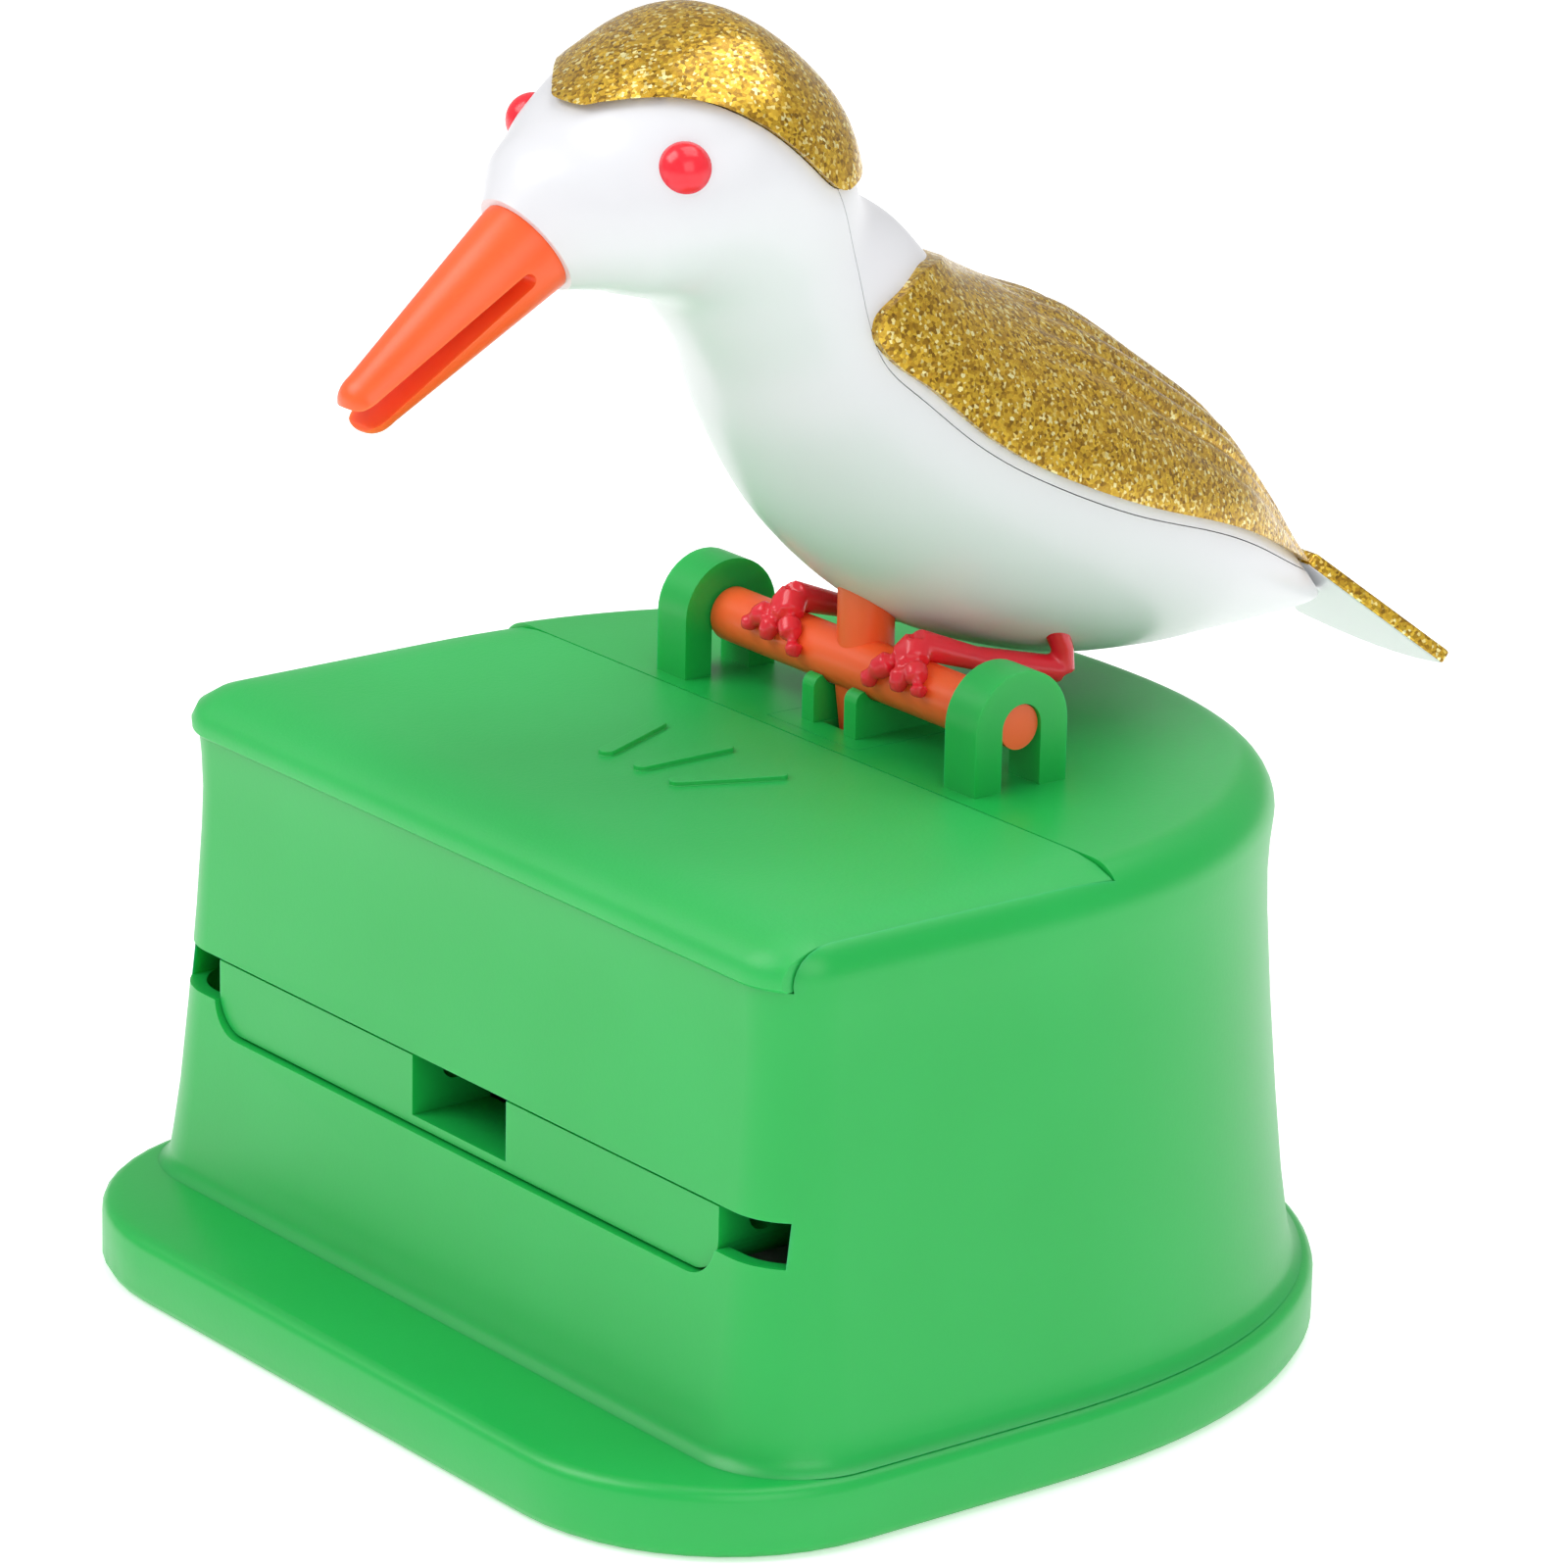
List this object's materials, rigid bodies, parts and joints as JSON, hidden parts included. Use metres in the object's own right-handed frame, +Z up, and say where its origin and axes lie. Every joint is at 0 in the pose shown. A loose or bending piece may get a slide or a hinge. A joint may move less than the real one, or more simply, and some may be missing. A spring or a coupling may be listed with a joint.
{
  "type": "bird toothpick dispenser",
  "caption": "Perched bird on a D-shaped hopper box: as it bows, a geared tray slides out of the front slot and the split beak picks a toothpick.",
  "frame": {"origin": "middle of the base's underside", "axes": "+X to the box's right, +Y to the back, +Z up; the bird faces -Y"},
  "size_m": [0.0778, 0.0934, 0.0927],
  "materials": {
    "green_plastic": "satin",
    "orange_plastic": "satin",
    "white_plastic": "satin",
    "gold_glitter": "glitter paint",
    "red_plastic": "translucent gloss",
    "steel": "bright"
  },
  "bodies": {
    "box": {"base_plate": "green_plastic", "base_screws": "steel", "housing": "green_plastic", "hopper_ramp": "green_plastic", "perch_cradle": "green_plastic", "tray_guide": "white_plastic", "guide_screws": "steel", "idler_pin": "steel", "return_spring": "steel"},
    "bird": {"perch_rod": "orange_plastic", "body_shell": "white_plastic", "back_cover": "gold_glitter", "crest_cap": "gold_glitter", "tail_fan": "gold_glitter", "beak": "orange_plastic", "eye_right": "red_plastic", "eye_left": "red_plastic", "leg_right": "red_plastic", "leg_left": "red_plastic"},
    "tray": {"pick_tray": "green_plastic"},
    "idler": {"idler_gear": "white_plastic"},
    "lid": {"refill_lid": "green_plastic"}
  },
  "joints": [
    {"name": "bird_bow", "type": "hinge", "parent": "box", "child": "bird", "pos_m": [0, 0.0074, 0.0448], "axis": [1, 0, 0], "range_deg": [0, 62], "stiffness_Nm_per_rad": 0.02, "springref_deg": -28.65},
    {"name": "tray_slide", "type": "slide", "parent": "box", "child": "tray", "axis": [0, -1, 0], "range_m": [0, 0.01083], "deforming": ["return_spring"]},
    {"name": "idler_spin", "type": "hinge", "parent": "box", "child": "idler", "pos_m": [0, 0.01612, 0.03187], "axis": [1, 0, 0], "range_deg": [-110.8, 0]},
    {"name": "lid_slide", "type": "slide", "parent": "box", "child": "lid", "axis": [-1, 0, 0], "range_m": [0, 0.07]}
  ],
  "couplings": [
    {"joint": "tray_slide", "follows": "bird_bow", "m_per_rad": 0.01},
    {"joint": "idler_spin", "follows": "bird_bow", "ratio": -1.7857}
  ]
}
